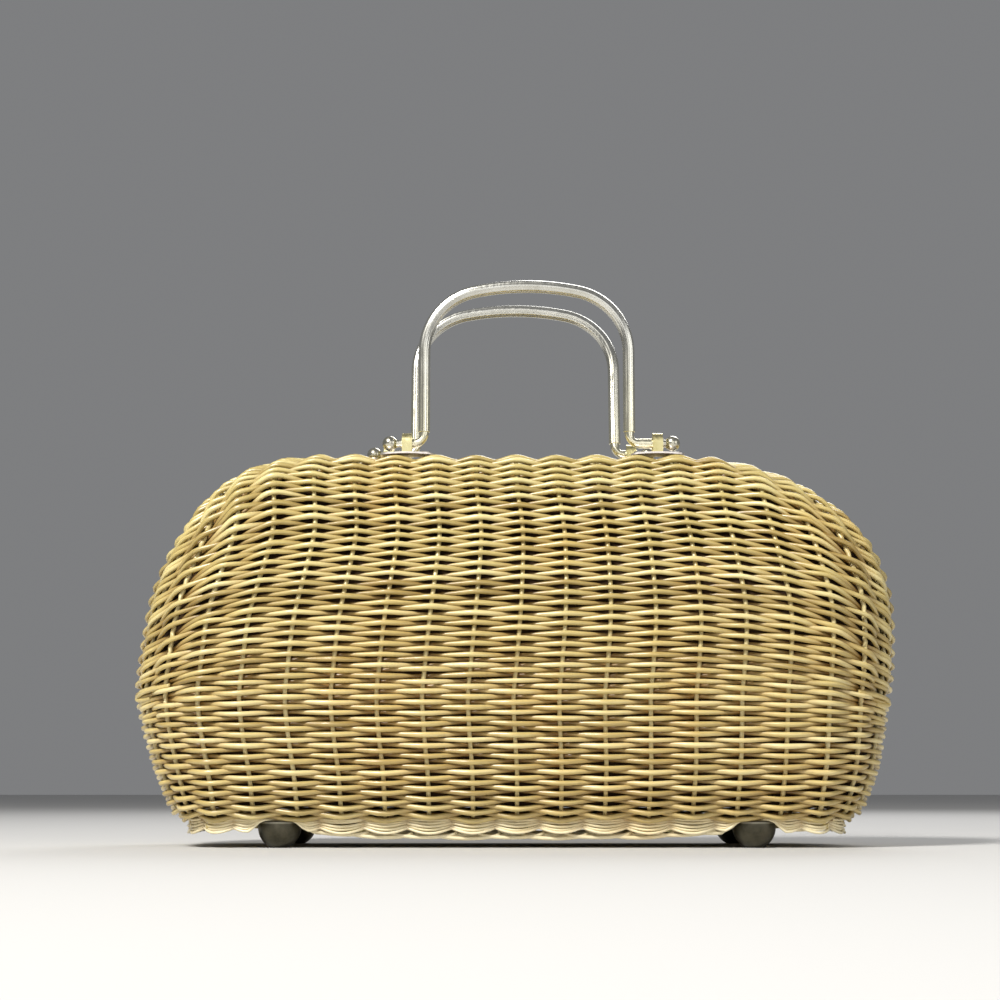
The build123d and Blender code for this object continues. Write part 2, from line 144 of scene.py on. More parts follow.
def spread(t, z):
    """Distance from the middle of the stake that is t spaces away from it, at height z."""
    share = (z - BASE_Z) / BODY_HEIGHT
    pitch = BELLY_PITCH * (0.965 + 0.035 * smooth(share, 0, 0.35) - 0.072 * smooth(share, 0.5, 0.86))
    limit = half_way(z) - RIM_EDGE
    t = np.abs(t)
    squeeze = np.maximum((pitch * MIDDLE - limit) / (MIDDLE - EVEN_SPACES) ** 2, 0)
    squeeze = np.where(z < TURN_Z, squeeze, np.minimum(squeeze, 0.85 * MM))
    inner = pitch * t - squeeze * np.maximum(t - EVEN_SPACES, 0) ** 2
    last = pitch * (MIDDLE - 1) - squeeze * (MIDDLE - 1 - EVEN_SPACES) ** 2
    outer = last + (limit - last) * np.clip(t - MIDDLE + 1, 0, 1)
    return np.minimum(np.where(t > MIDDLE - 1, outer, inner), limit)


def stake_top(t):
    """Height at which the stake meets the rim."""
    low, high = np.full(t.shape, CORNER_Z), np.full(t.shape, TOP_Z)
    near = np.minimum(np.abs(t), MIDDLE - 1)
    for _ in range(40):
        z = (low + high) / 2
        free = spread(near, z) < half_way(z) - RIM_EDGE - 1e-7
        low, high = np.where(free, z, low), np.where(free, high, z)
    return low + (CORNER_Z - low) * np.clip(np.abs(t) - MIDDLE + 1, 0, 1)


# ---------------------------------------------------------------- strands


# The ends aren't quite alike: height, and how far the body leans to the right there, in millimetres.
SETTLED = MM * np.array([(0, 0), (30, 0), (50, -1.0), (66, -1.6), (80, -0.4), (95, 0.9), (110, 2.0),
                         (125, 2.7), (139, 3.0), (150, 2.2), (163, 0.5), (175, 0), (300, 0)])
SHOULDER_X, SHOULDER_REACH = -0.122, 0.028
SHOULDER_RISE = 3.6 * MM               # of the left shoulder


def settle(vertices):
    """Leans finished vertices sideways by the amount for their height, and lifts the left shoulder."""
    vertices = vertices.copy()
    swell = np.exp(-(((vertices[..., 0] - SHOULDER_X) / SHOULDER_REACH) ** 2))
    swell = swell * smooth(vertices[..., 2], 0.13, 0.165)
    vertices[..., 0] += curve_through(SETTLED[:, 0], SETTLED[:, 1], vertices[..., 2])
    vertices[..., 2] += SHOULDER_RISE * swell
    return vertices


class Strands:
    """Round strands gathered into one mesh of quads, with a UV along and round each strand."""

    def __init__(self):
        self.vertices, self.faces, self.uvs, self.tone, self.depth = [], [], [], [], []
        self.count = 0

    def add(self, points, radius, normals, sides=8, tone=0.5, depth=0.5):
        """One strand along the points, closed at both ends, with its first side towards the normals."""
        points = np.asarray(points, float)
        n = len(points)
        along = np.gradient(points, axis=0)
        along /= np.linalg.norm(along, axis=1, keepdims=True) + 1e-12
        normals = normals - along * np.sum(normals * along, 1, keepdims=True)
        normals /= np.linalg.norm(normals, axis=1, keepdims=True) + 1e-12
        across = np.cross(along, normals)
        angle = np.arange(sides) * 2 * math.pi / sides
        radius = np.broadcast_to(radius, (n,))[:, None, None]
        ring = np.cos(angle)[None, :, None] * normals[:, None]
        ring = ring + np.sin(angle)[None, :, None] * across[:, None]
        self.vertices.append((points[:, None] + radius * ring).reshape(-1, 3))
        i, j = np.meshgrid(np.arange(n - 1), np.arange(sides), indexing="ij")
        k = (j + 1) % sides
        quads = np.stack([i * sides + j, i * sides + k, (i + 1) * sides + k, (i + 1) * sides + j], -1)
        quads = quads.reshape(-1, 4)
        length = np.concatenate([[0], np.cumsum(np.linalg.norm(np.diff(points, axis=0), axis=1))])
        start = random_source.uniform(0, 5)
        u = (length + start)[np.stack([i, i, i + 1, i + 1], -1)].reshape(-1, 4)
        v = (np.stack([j, j + 1, j + 1, j], -1) / sides).reshape(-1, 4)
        caps = [(0, 3, 2, 1), (0, 5, 4, 3)] if sides == 6 else [(0, 3, 2, 1), (0, 7, 4, 3), (4, 7, 6, 5)]
        end = [tuple((n - 1) * sides + c for c in reversed(cap)) for cap in caps]
        caps = np.array(caps + end)
        cap_u = np.where(caps < sides, start, start + length[-1])
        self.faces.append(np.concatenate([quads, caps]) + self.count)
        self.uvs.append(np.concatenate([np.stack([u, v], -1), np.stack([cap_u, caps * 0.0], -1)]))
        self.tone.append(np.repeat(np.broadcast_to(tone, (n,)), sides))
        self.depth.append(np.repeat(np.broadcast_to(depth, (n,)), sides))
        self.count += n * sides

    def make(self, name, material, body, half, *nodes):
        """The finished piece, on its half of the bag."""
        vertices = np.concatenate(self.vertices)
        faces, uvs = np.concatenate(self.faces), np.concatenate(self.uvs)
        if half > 0:
            vertices = vertices * (-1, -1, 1)
        vertices = settle(vertices)
        mesh = bpy.data.meshes.new(name)
        mesh.vertices.add(len(vertices))
        mesh.vertices.foreach_set("co", vertices.ravel())
        mesh.loops.add(faces.size)
        mesh.loops.foreach_set("vertex_index", faces.ravel())
        mesh.polygons.add(len(faces))
        mesh.polygons.foreach_set("loop_start", np.arange(0, faces.size, 4))
        mesh.update(calc_edges=True)
        mesh.uv_layers.new(name="strand").data.foreach_set("uv", uvs.ravel())
        # depth runs from 0 inside the stakes to 1 outside; the cane materials paint recess shade where it is
        # low.
        for label, values in (("tone", self.tone), ("depth", self.depth)):
            layer = mesh.attributes.new(label, "FLOAT", "POINT")
            layer.data.foreach_set("value", np.concatenate(values))
        mesh.shade_smooth()
        piece = bpy.data.objects.new(name, mesh)
        bpy.context.scene.collection.objects.link(piece)
        mesh.materials.append(material)
        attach(piece, body)
        if nodes:
            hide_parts(*nodes)
        return piece


def wander(n, reach, size):
    """A slow random wave of n values."""
    knots = max(3, int(n / reach) + 2)
    values = random_source.normal(0, size, knots)
    return curve_through(np.arange(knots, dtype=float), values, np.linspace(0, knots - 1, n))


# ---------------------------------------------------------------- surface grid of one half

columns = np.arange(INTERVALS * STEPS + 1) / STEPS - MIDDLE       # spaces from the middle stake


def surface_grid():
    """Points of the outer surface where every row crosses every column, with outward normals.
    Low rows are level; high rows share the way from the turn level to the rim, and some of them
    turn back before they reach the ends."""
    low_z = np.linspace(BASE_Z + 3.0 * MM, TURN_Z, 400)
    front = place(np.zeros_like(low_z), low_z)
    way = np.concatenate([[0], np.cumsum(np.linalg.norm(np.diff(front, axis=0), axis=1))])
    low_count = int(way[-1] / ROW_PITCH)
    level_z = np.interp(np.arange(low_count) * way[-1] / low_count, way, low_z)
    low_rows = np.stack([place(np.sign(columns) * spread(columns, z), np.full(columns.shape, z))
                         for z in level_z])

    tops = stake_top(columns)
    q = np.linspace(0, 1, 500)
    heights = TURN_Z + (tops[None] - TURN_Z) * (1 - (1 - q[:, None]) ** 1.7)
    paths = np.stack([place(np.sign(t) * spread(np.full(q.shape, t), heights[:, k]), heights[:, k])
                      for k, t in enumerate(columns)], 1)
    pieces = np.linalg.norm(np.diff(paths, axis=0), axis=2)
    lengths = np.concatenate([np.zeros((1, len(columns))), np.cumsum(pieces, 0)])
    high_count = int(round(lengths[-1, len(columns) // 2] / ROW_PITCH))
    widths = np.ones((high_count, len(columns)))
    ends = np.full(high_count, MIDDLE)
    for row in range(3, high_count - 3, 4):
        ends[row] = MIDDLE - 2 - (row // 4) % 3
        widths[row] = 1 - smooth(np.abs(columns), ends[row] - 1.0, ends[row] + 0.2)
    reach = (np.cumsum(widths, 0) - widths[0]) / widths.sum(0)
    droop = 0.09 * smooth(-columns, 4.5, 10.5) + 0.12 * smooth(columns, 3.5, 10)
    reach = reach - droop * np.sin(math.pi * reach)
    high_rows = np.empty((high_count, len(columns), 3))
    for k in range(len(columns)):
        wanted = reach[:, k] * (lengths[-1, k] - ROW_PITCH / 2)
        for axis in range(3):
            high_rows[:, k, axis] = np.interp(wanted, lengths[:, k], paths[:, k, axis])
    grid = np.concatenate([low_rows, high_rows])
    ends = np.concatenate([np.full(low_count, MIDDLE), ends])
    normals = np.cross(np.gradient(grid, axis=1), np.gradient(grid, axis=0))
    normals /= np.linalg.norm(normals, axis=2, keepdims=True) + 1e-12
    return grid, normals, ends, low_count


grid, grid_normals, row_ends, TURN_ROW = surface_grid()
ROWS = len(grid)
GAP_COLUMN = 18
GAP_ROW = int(np.argmin(np.abs(grid[:, GAP_COLUMN, 2] - GAP_Z)))
column_index = columns + MIDDLE
foot_boxes = [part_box("front_foot_left"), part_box("front_foot_right")]
foot_places = [((low.x + high.x) / 2, (low.y + high.y) / 2) for low, high in foot_boxes]
FOOT_TOP = foot_boxes[0][1].z
FOOT_RADIUS = (foot_boxes[0][1].x - foot_boxes[0][0].x) / 2


def over_feet(points, room):
    """Lifts strands that would run through a foot so that they pass over it."""
    points = points.copy()
    for x, y in foot_places:
        away = np.hypot(points[..., 0] - x, points[..., 1] - y)
        lift = np.maximum(FOOT_TOP + room - points[..., 2], 0)
        points[..., 2] += lift * (1 - smooth(away, FOOT_RADIUS, FOOT_RADIUS + 7 * MM))
    return points


def woven_wave(row):
    """Outside (1) and inside (-1) of the stakes along a row."""
    angle = math.pi * (column_index + row)
    return (np.cos(angle) + 0.1 * np.cos(3 * angle)) / 1.1


def weft(strands, row):
    """One round weft, over one stake and under the next."""
    shown = np.abs(columns) <= row_ends[row] + 0.02
    wave = woven_wave(row) * (1 - 0.8 * smooth(np.abs(columns), MIDDLE - 0.6, MIDDLE))
    if row_ends[row] < MIDDLE:
        tucked = smooth(np.abs(columns), row_ends[row] - 0.8, row_ends[row])
        wave = wave * (1 - tucked) - 1.1 * tucked
    swing = (WEFT_RADIUS + STAKE_RADIUS) * 0.98
    normals = grid_normals[row]
    points = grid[row] - normals * WALL_MIDDLE + normals * (wave * swing)[:, None]
    up = np.cross(normals, np.gradient(grid[row], axis=0))
    up /= np.linalg.norm(up, axis=1, keepdims=True) + 1e-12
    shift = wander(len(columns), 12, 0.22 * MM)
    for side in (-1, 1):
        gap = np.exp(-(((columns - side * (MIDDLE - GAP_FROM_END)) / 0.55) ** 2))
        away = row - GAP_ROW
        shift = shift + gap * 1.5 * MM * np.sign(away + 0.5) * math.exp(-abs(away + 0.5) / 2.2)
    points = over_feet(points - up * shift[:, None], ROOM_OVER_FOOT)
    size = WEFT_RADIUS * (1 + random_source.normal(0, 0.04)) * (1 + wander(len(columns), 20, 0.03))
    size = size * (0.91 + 0.11 * wave)
    tone = np.clip(0.5 + random_source.normal(0, 0.2) + wander(len(columns), 26, 0.14), 0, 1)
    strands.add(points[shown], size[shown], normals[shown], 8, tone[shown], (wave[shown] + 1) / 2)


def stake(strands, number):
    """One upright stake from the base to the rim."""
    k = number * STEPS
    rows = np.arange(ROWS)
    bend = 0.3 * MM * np.cos(math.pi * (number + rows))
    points = grid[:, k] - grid_normals[:, k] * (WALL_MIDDLE + 0.25 * MM + bend)[:, None]
    points = over_feet(points, ROOM_OVER_FOOT)
    normals = grid_normals[:, k]
    tone = np.clip(0.72 + random_source.normal(0, 0.1), 0, 1)
    strands.add(points, STAKE_RADIUS, normals, 6, tone, 0.85)


def turned_end(strands, side):
    """A weft end bent back on itself in the gap at the end of the bag."""
    t = side * (MIDDLE - np.array([3.1, 2.8, 2.5, 2.2, 1.95, 1.85, 1.95, 2.15, 2.4]))
    rise = MM * np.array([0.3, 0.5, 0.6, 0.6, 0.1, -0.8, -1.7, -2.2, -2.4])
    out = MM * np.array([-3.0, -1.6, -0.6, 0.0, 0.2, 0.2, 0.0, -0.8, -2.2])
    height = np.interp(t, columns, grid[GAP_ROW, :, 2]) + rise
    points = place(np.sign(t) * spread(t, height), height)
    points[:, 1] -= out * 0.6
    points[:, 0] += side * out
    fine = np.linspace(0, len(t) - 1, 40)
    points = np.stack([np.interp(fine, np.arange(len(t)), points[:, k]) for k in range(3)], -1)
    normals = np.tile((side * 0.8, -0.6, 0.0), (40, 1))
    strands.add(points, 1.1 * MM, normals, 8, 0.45, 0.8)


def base_mat(strands):
    """The woven underside: wefts along the length over cross stakes."""
    a, b, r = (float(v) for v in outline(BASE_Z + 1 * MM))
    pitch = BELLY_PITCH * 0.965
    z = BASE_Z + WALL_MIDDLE
    swing = WEFT_RADIUS + STAKE_RADIUS
    rows = int((b - RIM_EDGE - 2 * MM) / (ROW_PITCH * 1.03))
    for row in range(rows):
        y = -RIM_EDGE - 1.5 * MM - row * ROW_PITCH * 1.03
        inset = r - math.sqrt(max(r * r - max(-y - (b - r), 0) ** 2, 0))
        x = np.linspace(-(a - inset), a - inset, 150)
        wave = np.cos(math.pi * (x / pitch + row))
        points = np.stack([x, np.full_like(x, y) + wander(150, 12, 0.15 * MM), z - wave * swing * 0.9], -1)
        normals = np.tile((0.0, 0.0, -1.0), (150, 1))
        tone = np.clip(0.55 + random_source.normal(0, 0.15), 0, 1)
        strands.add(over_feet(points, ROOM_OVER_FOOT), WEFT_RADIUS, normals, 8, tone, (wave + 1) / 2)
    for i in range(-7, 8):
        y = np.linspace(-RIM_EDGE, -(b - 1.5 * MM), 24)
        points = np.stack([np.full_like(y, i * pitch), y, np.full_like(y, z)], -1)
        normals = np.tile((0.0, 0.0, -1.0), (24, 1))
        strands.add(over_feet(points, ROOM_OVER_FOOT), STAKE_RADIUS, normals, 6, 0.75, 0.8)


def base_border(strands):
    """The twined border round the base: two bundles of thin strands that change places at each stake."""
    level = BASE_Z + 2.2 * MM
    outer = place(np.sign(columns) * spread(columns, level), np.full(columns.shape, level))
    down_out = np.cross(np.gradient(outer, axis=0), np.tile((0.0, 0.0, 1.0), (len(columns), 1)))
    down_out /= np.linalg.norm(down_out, axis=1, keepdims=True)
    closing = smooth(np.abs(columns), MIDDLE - 0.8, MIDDLE)
    for bundle in (0, 1):
        wave = np.cos(math.pi * (column_index + bundle)) * (1 - closing)
        for k in range(BORDER_STRANDS):
            points = outer - down_out * (WALL_MIDDLE - wave * 2.1 * MM - 0.25 * MM * (-1) ** k)[:, None]
            points[:, 2] += -wave * 1.8 * MM
            points[:, 2] += (k - 1.3) * 1.42 * MM * (0.72 + 0.28 * wave) * (1 - 0.8 * closing)
            points = points - down_out * (3.0 * MM * closing)[:, None]
            points[:, 2] += wander(len(columns), 10, 0.12 * MM)
            tone = np.clip(0.72 + random_source.normal(0, 0.14), 0, 1)
            strands.add(over_feet(points, BORDER_ROOM), 0.66 * MM, down_out, 6, tone, (wave + 1) / 2)


def border_loops(strands):
    """Stake ends turned under the base in overlapping loops, lowest between the feet."""
    level = BASE_Z + 1.0 * MM
    turn = np.linspace(0, math.pi, 20)
    for layer in (0, 1):
        for i in range(-6, 6):
            start = i + 0.1 + 0.5 * layer
            t = start + 1.5 * (1 - np.cos(turn)) / 2
            points = place(np.sign(t) * spread(t, np.full(t.shape, level)), np.full(t.shape, level))
            sag = 3.4 * MM * (1 - np.clip(np.abs(points[:, 0]) / (100 * MM), 0, 1) ** 4)
            points[:, 1] += (4.2 + 2.2 * layer) * MM - 1.6 * MM * np.sin(turn)
            points[:, 2] += 0.8 * MM - 2.2 * MM * np.sin(turn) - sag * (1 - 0.3 * layer) + 0.4 * MM * (i % 2)
            points[:, 2] = np.maximum(points[:, 2], 1.6 * MM)
            normals = np.tile((0.0, -0.3, -1.0), (20, 1))
            strands.add(over_feet(points, BORDER_ROOM), 0.92 * MM, normals, 6, 0.7, 0.9)


RIM_PITCH = 2.6 * MM                   # of the wrapping
RIM_HALF_OUT = 3.1 * MM
RIM_SIDES = 10
RIM_EASE = 15                          # samples over which its corners are rounded
WRAP_GROOVE = 0.14                     # share of the radius lost between two wraps


def bound_rim():
    """The rim of a half: a core wrapped with cane all the way round."""
    z = np.linspace(BASE_Z, TOP_Z, 900)
    a, _, _ = outline(z)
    half = [(0, BASE_Z)] + list(zip(a, z)) + [(0, TOP_Z)]
    full = np.array(half + [(-x, h) for x, h in reversed(half[1:-1])] + [half[0]])
    way = np.concatenate([[0], np.cumsum(np.linalg.norm(np.diff(full, axis=0), axis=1))])
    turns = int(way[-1] / RIM_PITCH)
    n = turns * 6
    s = np.arange(n) * way[-1] / n
    x, h = np.interp(s, way, full[:, 0]), np.interp(s, way, full[:, 1])
    kernel = np.ones(RIM_EASE) / RIM_EASE
    x = np.convolve(np.concatenate([x[-RIM_EASE:], x, x[:RIM_EASE]]), kernel, "same")[RIM_EASE:-RIM_EASE]
    h = np.convolve(np.concatenate([h[-RIM_EASE:], h, h[:RIM_EASE]]), kernel, "same")[RIM_EASE:-RIM_EASE]
    tangent = np.stack([np.roll(x, -1) - np.roll(x, 1), np.roll(h, -1) - np.roll(h, 1)], 1)
    tangent /= np.linalg.norm(tangent, axis=1, keepdims=True)
    out = np.stack([tangent[:, 1], -tangent[:, 0]], 1)
    rim_low, rim_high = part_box("front_rim")
    middle_y, half_y = (rim_low.y + rim_high.y) / 2, (rim_high.y - rim_low.y) / 2
    angle = np.arange(RIM_SIDES) * 2 * math.pi / RIM_SIDES
    phase = math.pi * (s[:, None] / RIM_PITCH + angle[None] / (2 * math.pi))
    wrap = 1 - WRAP_GROOVE + WRAP_GROOVE * np.abs(np.sin(phase)) ** 0.6
    offset = RIM_HALF_OUT * np.cos(angle)[None] * wrap
    vx = x[:, None] + out[:, 0:1] * (offset - RIM_HALF_OUT)
    vz = h[:, None] + out[:, 1:2] * (offset - RIM_HALF_OUT)
    vy = middle_y + half_y * np.sin(angle)[None] * wrap
    vertices = np.stack([vx, vy, vz], -1).reshape(-1, 3)
    i, j = np.meshgrid(np.arange(n), np.arange(RIM_SIDES), indexing="ij")
    i2, j2 = (i + 1) % n, (j + 1) % RIM_SIDES
    faces = np.stack([i * RIM_SIDES + j, i2 * RIM_SIDES + j, i2 * RIM_SIDES + j2, i * RIM_SIDES + j2], -1)
    faces = faces.reshape(-1, 4)
    u = np.stack([s[i], s[i] + RIM_PITCH / 6, s[i] + RIM_PITCH / 6, s[i]], -1).reshape(-1, 4)
    v = (np.stack([j, j, j + 1, j + 1], -1) / RIM_SIDES).reshape(-1, 4)
    strands = Strands()
    strands.vertices, strands.faces = [vertices], [faces]
    strands.uvs = [np.stack([v * 0.02, u], -1)]
    tone = 0.55 + 0.25 * np.sin(np.floor(s / RIM_PITCH) * 12.9)
    strands.tone = [np.repeat(np.clip(tone, 0, 1), RIM_SIDES)]
    # Low depth in the grooves between wraps: the cane material paints shade there.
    strands.depth = [(np.clip((wrap - 1) / WRAP_GROOVE + 1, 0, 1)).ravel()]
    return strands


# ---------------------------------------------------------------- materials


class Nodes:
    """A new material and short ways to add and join its nodes."""

    def __init__(self, name):
        self.material = bpy.data.materials.new(name)
        self.material.use_nodes = True
        self.tree = self.material.node_tree
        self.shader = self.tree.nodes["Principled BSDF"]

    def add(self, kind, inputs=(), **settings):
        """A new node, its inputs joined to sockets or set to values."""
        node = self.tree.nodes.new("ShaderNode" + kind)
        for key, value in settings.items():
            setattr(node, key, value)
        for key, value in dict(inputs).items():
            if isinstance(value, bpy.types.NodeSocket):
                self.tree.links.new(value, node.inputs[key])
            else:
                node.inputs[key].default_value = value
        return node

    def link(self, output, key):
        """Joins an output to one of the shader's inputs."""
        self.tree.links.new(output, self.shader.inputs[key])

    def set(self, **values):
        """Sets the shader's own inputs, with _ for each space in a name."""
        for key, value in values.items():
            self.shader.inputs[key.replace("_", " ")].default_value = value

    def scaled(self, source, scale):
        """Coordinates stretched by a scale."""
        return self.add("Mapping", {"Vector": source, "Scale": scale}).outputs["Vector"]

    def noise(self, vector, scale, detail=3.0, roughness=0.55):
        """Cloudy values from 0 to 1."""
        values = {"Vector": vector, "Scale": scale, "Detail": detail, "Roughness": roughness}
        return self.add("TexNoise", values).outputs["Fac"]

    def ramp(self, factor, *stops):
        """A colour from stops of (place, colour)."""
        node = self.add("ValToRGB", {"Fac": factor})
        points = node.color_ramp.elements
        for k, (where, colour) in enumerate(stops):
            point = points[k] if k < 2 else points.new(where)
            point.position = where
            point.color = (*colour, 1)
        return node.outputs["Color"]

    def mix(self, factor, a, b, blend="MIX"):
        """Two colours mixed by a factor."""
        node = self.add("Mix", data_type="RGBA", blend_type=blend)
        for key, value in ((0, factor), (6, a), (7, b)):
            if isinstance(value, bpy.types.NodeSocket):
                self.tree.links.new(value, node.inputs[key])
            else:
                node.inputs[key].default_value = value if key == 0 else (*value, 1)
        return node.outputs[2]

    def math(self, operation, a, b=0.0):
        """One sum of two values."""
        return self.add("Math", {0: a, 1: b}, operation=operation).outputs[0]

    def map(self, value, low, high, new_low, new_high):
        """A value moved from one range to another."""
        values = {"Value": value, "From Min": low, "From Max": high, "To Min": new_low, "To Max": new_high}
        return self.add("MapRange", values).outputs["Result"]

    def bump(self, height, strength, distance):
        """Fine relief on the surface."""
        values = {"Height": height, "Strength": strength, "Distance": distance}
        self.link(self.add("Bump", values).outputs["Normal"], "Normal")


def lacquered_cane(name, light, mid, dark):
    """Round cane: long fibre streaks, strands of different tone, browner and darker where it dives inside
    (painted shade of the recesses, with less bleached cane there) and slightly darker and yellower towards
    the top (painted shade).
    """
    m = Nodes(name)
    uv = m.add("UVMap", uv_map="strand").outputs["UV"]
    streaks = m.noise(m.scaled(uv, (60.0, 5.0, 1.0)), 1.0, 4.0, 0.6)
    fibres = m.noise(m.scaled(uv, (220.0, 22.0, 1.0)), 1.0, 3.0, 0.6)
    blotches = m.noise(m.scaled(uv, (26.0, 0.8, 1.0)), 1.0, 2.0, 0.5)
    tone = m.add("Attribute", attribute_name="tone").outputs["Fac"]
    depth = m.add("Attribute", attribute_name="depth").outputs["Fac"]
    mixed = m.math("ADD", m.math("MULTIPLY", tone, 0.5), m.math("MULTIPLY", blotches, 0.5))
    mixed = m.math("ADD", m.math("MULTIPLY", mixed, 0.7), m.math("MULTIPLY", streaks, 0.3))
    colour = m.ramp(mixed, (0.22, dark), (0.78, light), (0.5, mid))
    # Painted shade: the colour turns darker and yellower towards the top of the bag.
    height = m.add("SeparateXYZ", {"Vector": m.add("TexCoord").outputs["Object"]}).outputs["Z"]
    yellow = m.map(height, BASE_Z + 0.05, TOP_Z, 0.0, 1.0)
    colour = m.mix(m.math("MULTIPLY", yellow, 0.35), colour, (0.80, 0.86, 0.62), "MULTIPLY")
    warm = m.map(m.noise(m.add("TexCoord").outputs["Object"], 24.0, 4.0, 0.6), 0.5, 0.72, 0.0, 0.4)
    colour = m.mix(warm, colour, (0.95, 0.74, 0.42), "MULTIPLY")
    # Painted shade: where a strand dives inside the stakes, and in the grooves between rim wraps, its colour
    # is darkened and browned, partly also for the less bleached cane there.
    inner = m.map(depth, 0.05, 0.75, 1.0, 0.0)
    colour = m.mix(m.math("MULTIPLY", inner, 0.9), colour, (0.42, 0.27, 0.12), "MULTIPLY")
    m.link(colour, "Base Color")
    m.link(m.map(fibres, 0.2, 0.8, 0.24, 0.42), "Roughness")
    m.set(Specular_IOR_Level=0.6, Coat_Weight=0.35, Coat_Roughness=0.2)
    m.bump(fibres, 0.25, 0.0003)
    return m.material


def lining_cloth():
    """Plain-woven cloth in a near-black brown: painted shade for the dark seen through the gaps of the
    weave.
    """
    m = Nodes("painted_shade_lining_cloth")
    place_in = m.add("TexCoord").outputs["Object"]
    waves = []
    for turn in ("X", "Z"):
        values = {"Vector": place_in, "Scale": 320.0, "Distortion": 0.6, "Detail": 1.0}
        waves.append(m.add("TexWave", values, bands_direction=turn).outputs["Fac"])
    weave = m.math("MULTIPLY", waves[0], waves[1])
    cloud = m.noise(place_in, 35.0, 4.0)
    # Near-black colours: painted shade inside the closed bag.
    colour = m.ramp(cloud, (0.3, (0.022, 0.010, 0.004)), (0.75, (0.055, 0.028, 0.012)))
    m.link(m.mix(m.math("MULTIPLY", weave, 0.4), colour, (0.075, 0.040, 0.018)), "Base Color")
    m.set(Roughness=0.85, Specular_IOR_Level=0.2, Sheen_Weight=0.05)
    m.bump(weave, 0.4, 0.0003)
    return m.material


def worn_metal(name, light, dark, roughness, scratch=0.5):
    """Plated metal with rubbed patches and fine scratches."""
    m = Nodes(name)
    place_in = m.add("TexCoord").outputs["Object"]
    rubbed = m.noise(place_in, 90.0, 5.0, 0.6)
    fine = m.noise(m.scaled(place_in, (1.0, 1.0, 0.3)), 700.0, 2.0, 0.5)
    colour = m.ramp(rubbed, (0.32, dark), (0.7, light))
    m.link(m.mix(m.math("MULTIPLY", fine, 0.25), colour, dark), "Base Color")
    m.link(m.map(fine, 0.3, 0.7, roughness * 0.8, roughness * 1.35), "Roughness")
    m.set(Metallic=1.0)
    m.bump(fine, 0.06 * scratch, 0.0002)
    return m.material


def fluted_metal():
    """Champagne plating, silver at the crown and brassier low on the legs."""
    m = Nodes("champagne_fluted_tube")
    place_in = m.add("TexCoord").outputs["Object"]
    worn = m.noise(place_in, 60.0, 4.0, 0.6)
    streaks = m.noise(m.scaled(place_in, (1.0, 1.0, 0.08)), 900.0, 2.0, 0.5)
    colour = m.ramp(worn, (0.35, (0.60, 0.59, 0.53)), (0.7, (0.76, 0.75, 0.69)))
    height = m.add("SeparateXYZ", {"Vector": place_in}).outputs["Z"]
    low = m.map(m.math("ADD", height, m.math("MULTIPLY", worn, 0.02)), 0.20, 0.25, 0.9, 0.0)
    colour = m.mix(low, colour, (0.90, 0.85, 0.63))
    m.link(colour, "Base Color")
    m.link(m.map(streaks, 0.3, 0.7, 0.20, 0.30), "Roughness")
    m.set(Metallic=1.0)
    return m.material


def foot_metal():
    """Dark antique plating with a pale rubbed edge at the top of the dome."""
    m = Nodes("dark_antique_plating")
    place_in = m.add("TexCoord").outputs["Object"]
    cloud = m.noise(place_in, 160.0, 5.0, 0.65)
    colour = m.ramp(cloud, (0.3, (0.045, 0.042, 0.028)), (0.75, (0.11, 0.10, 0.07)))
    height = m.add("SeparateXYZ", {"Vector": place_in}).outputs["Z"]
    edge = m.map(height, FOOT_TOP - 1.0 * MM, FOOT_TOP - 0.55 * MM, 0.0, 0.75)
    m.link(m.mix(edge, colour, (0.30, 0.28, 0.22)), "Base Color")
    m.link(m.map(cloud, 0.3, 0.7, 0.32, 0.52), "Roughness")
    m.set(Metallic=0.85)
    m.bump(cloud, 0.15, 0.0003)
    return m.material


weft_cane = lacquered_cane("weft_cane", (0.90, 0.78, 0.43), (0.63, 0.495, 0.195), (0.30, 0.195, 0.05))
# Stake cane is painted darker than the weft cane, as shade cast on the stakes by the wefts.
shaded_stake_cane = lacquered_cane("shaded_stake_cane", (0.76, 0.66, 0.36), (0.58, 0.46, 0.20), (0.35, 0.24, 0.08))
border_cane = lacquered_cane("border_cane", (0.95, 0.86, 0.60), (0.82, 0.71, 0.44), (0.44, 0.33, 0.15))
champagne = worn_metal("champagne_plating", (0.80, 0.77, 0.66), (0.55, 0.52, 0.40), 0.22, 0.2)
yellow_brass = worn_metal("yellow_brass", (0.90, 0.83, 0.48), (0.60, 0.52, 0.23), 0.28)
pale_plate = worn_metal("pale_plated_strip", (0.94, 0.89, 0.84), (0.78, 0.71, 0.66), 0.42)
plain_steel = worn_metal("plain_plated_steel", (0.62, 0.61, 0.58), (0.38, 0.37, 0.34), 0.32)
dark_foot = foot_metal()
fluted_tube = fluted_metal()
lining = lining_cloth()

# ---------------------------------------------------------------- woven halves

for name, half in HALVES.items():
    body = f"{name}_half"
    bands = ((0, TURN_ROW), (TURN_ROW, (TURN_ROW + ROWS) // 2), ((TURN_ROW + ROWS) // 2, ROWS))
    for band, (first, last) in zip(("lower", "middle", "upper"), bands):
        wefts = Strands()
        for row in range(first, last):
            weft(wefts, row)
        if band == "middle":
            turned_end(wefts, LEFT)
            turned_end(wefts, RIGHT)
        nodes = [f"{name}_basket"] if band == "lower" else []
        wefts.make(f"{name}_wefts_{band}", weft_cane, body, half, *nodes)
    stakes = Strands()
    for number in range(1, INTERVALS):
        stake(stakes, number)
    stakes.make(f"{name}_stakes", shaded_stake_cane, body, half)
    mat = Strands()
    base_mat(mat)
    mat.make(f"{name}_base_mat", weft_cane, body, half)
    border = Strands()
    base_border(border)
    border_loops(border)
    border.make(f"{name}_base_border", border_cane, body, half)
    bound_rim().make(f"{name}_bound_rim", border_cane, body, half, f"{name}_rim")

# ---------------------------------------------------------------- lining

LINING_INSET = 7.9 * MM                # inside the outer shape
LINING_THICKNESS = 1.2 * MM


